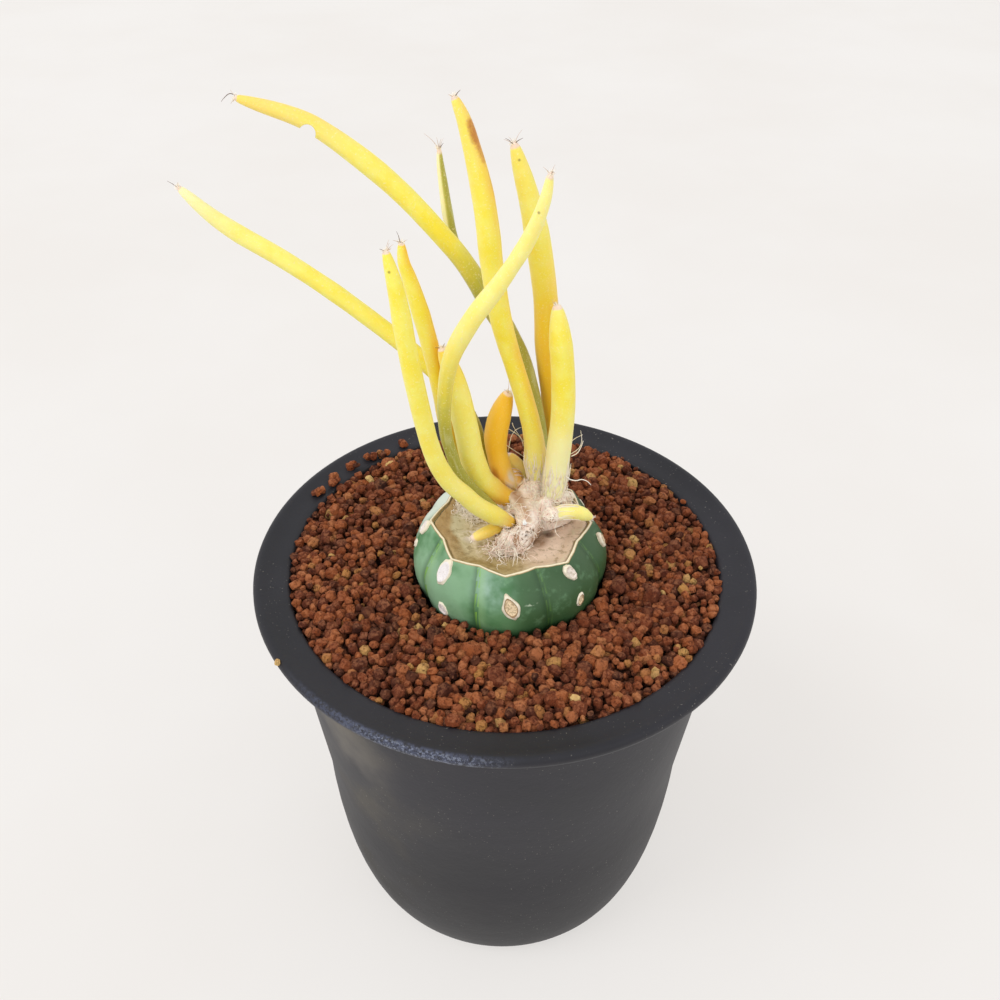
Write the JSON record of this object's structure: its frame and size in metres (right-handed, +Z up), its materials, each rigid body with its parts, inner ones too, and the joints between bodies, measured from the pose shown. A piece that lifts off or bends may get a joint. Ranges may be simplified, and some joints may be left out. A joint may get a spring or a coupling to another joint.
{
  "type": "potted grafted cactus",
  "caption": "Young Medusa's-head cactus with long yellow finger-like tubercles, grafted on a cut green star cactus in a dark plastic nursery pot of red-brown granules.",
  "frame": {"origin": "centre of the pot's flat base, on the surface that it stands on", "axes": "+Z up along the pot's axis; -Y is the side that the plant is seen best from, with the long arms reaching to -X"},
  "size_m": [0.0946, 0.09, 0.1667],
  "materials": {
    "pot_plastic": "fine satin grain, dusty",
    "granules": "matt baked clay granules",
    "stock_skin": "satin waxy skin",
    "dried_cut": "dry corky cut face",
    "crown_wool": "matt woolly hair",
    "yellow_skin": "satin waxy skin with fine pale flecks",
    "orange_skin": "satin waxy skin",
    "green_skin": "satin waxy skin with pale stripes"
  },
  "bodies": {
    "root": {"pot": "pot_plastic", "soil": "granules", "rootstock": "stock_skin", "graft_callus": "dried_cut", "scion_crown": "crown_wool", "tubercle_front_left": "yellow_skin", "tubercle_crossing": "yellow_skin", "tubercle_stout_left": "yellow_skin", "tubercle_twin_left": "yellow_skin", "tubercle_far_left": "yellow_skin", "tubercle_short_orange": "orange_skin", "tubercle_young_nub": "orange_skin", "tubercle_tall_centre": "yellow_skin", "tubercle_stout_right": "yellow_skin", "tubercle_upper_left": "yellow_skin", "tubercle_tall_right": "yellow_skin", "tubercle_thin_green": "green_skin", "tubercle_small_right": "yellow_skin", "tubercle_small_front": "orange_skin"}
  },
  "joints": []
}
